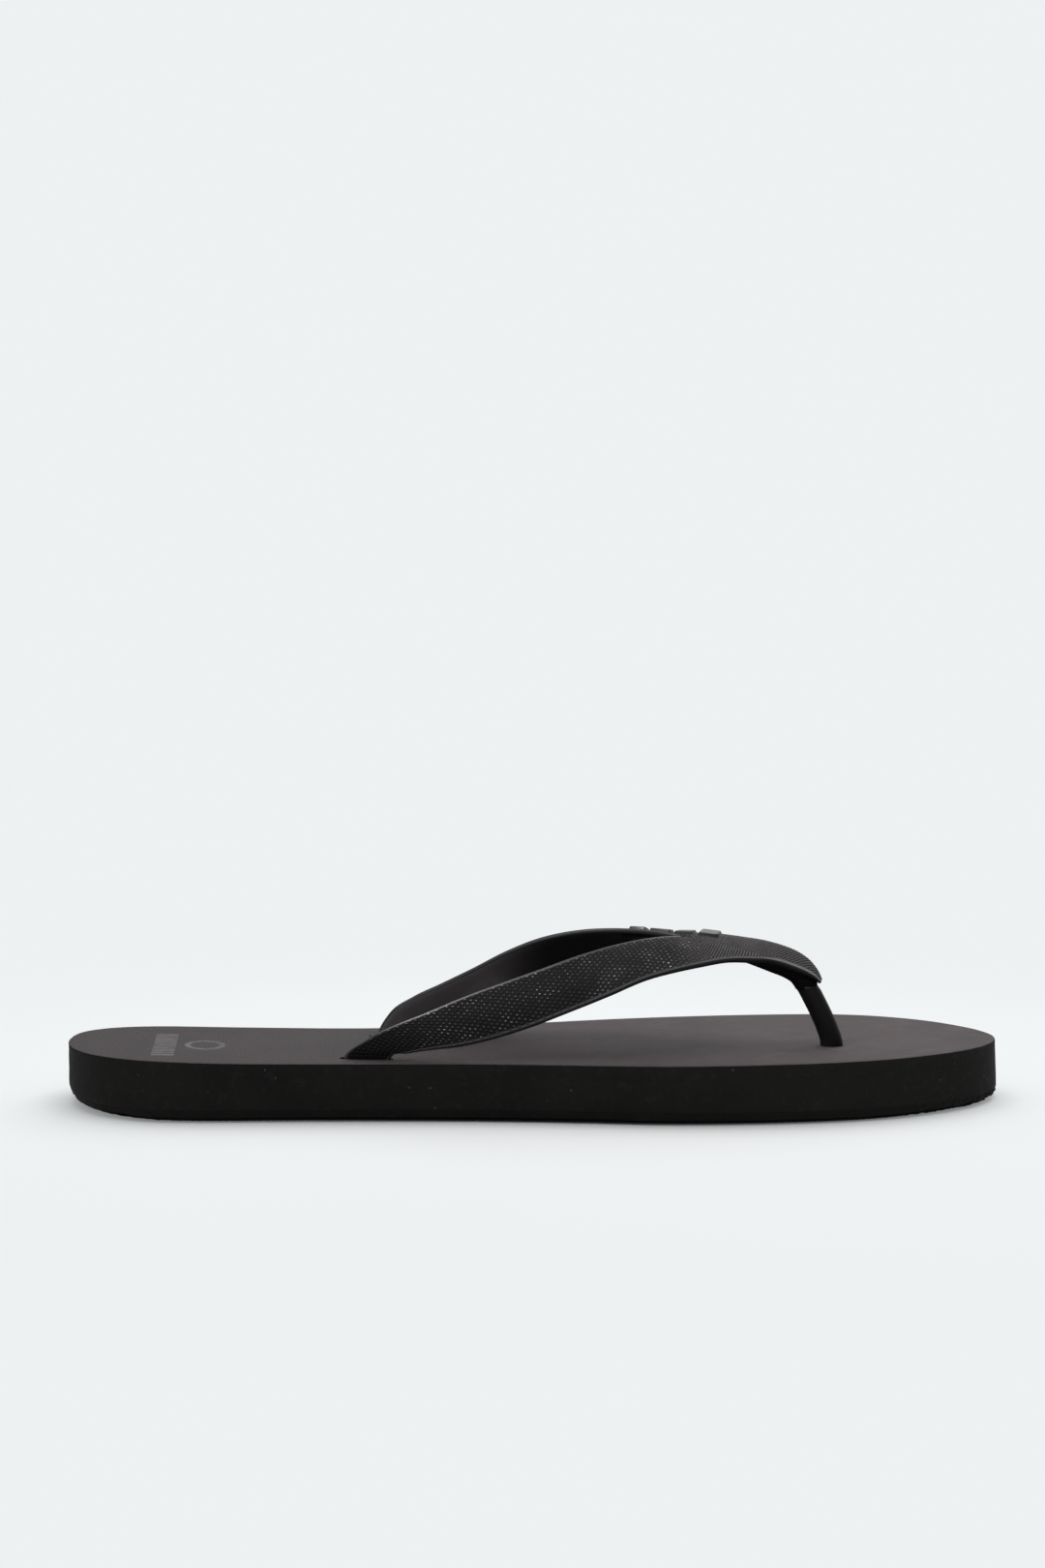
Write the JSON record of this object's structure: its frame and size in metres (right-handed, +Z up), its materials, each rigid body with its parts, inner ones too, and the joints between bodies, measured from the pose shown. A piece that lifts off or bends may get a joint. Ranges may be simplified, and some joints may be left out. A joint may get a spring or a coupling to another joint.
{
  "type": "flip flop",
  "caption": "Thong sandal: flat laminated sole with a ribbed footbed and treaded underside, and a moulded rubber strap with a toe post.",
  "frame": {"origin": "on the ground under the sole, half way between heel tip and toe tip, on the sole's centre line", "axes": "+X from heel to toe, +Y towards the outer side of the foot, +Z up"},
  "size_m": [0.2863, 0.1025, 0.053],
  "materials": {
    "footbed_foam": "matt charcoal foam sheet with fine embossed cross ribs",
    "midsole_foam": "matt black closed-cell foam",
    "outsole_rubber": "matt black treaded rubber sheet",
    "strap_rubber": "satin black moulded rubber, dotted outer face and smooth rims"
  },
  "bodies": {
    "rear": {"footbed_rear": "footbed_foam", "midsole_rear": "midsole_foam", "outsole_rear": "outsole_rubber"},
    "front": {"footbed_front": "footbed_foam", "midsole_front": "midsole_foam", "outsole_front": "outsole_rubber"},
    "strap": {"strap": "strap_rubber"}
  },
  "joints": [
    {"name": "forefoot_flex", "type": "hinge", "parent": "rear", "child": "front", "pos_m": [0.0575, 0, 0.01746], "axis": [0, -1, 0], "range_deg": [0, 40], "deforming": ["strap"]},
    {"name": "strap_swing", "type": "hinge", "parent": "front", "child": "strap", "pos_m": [0.0905, -0.0116, 0.008], "axis": [0, 1, 0], "range_deg": [0, 30.3], "deforming": ["strap"]}
  ],
  "couplings": [
    {"joint": "strap_swing", "follows": "forefoot_flex", "ratio": 0.756}
  ]
}
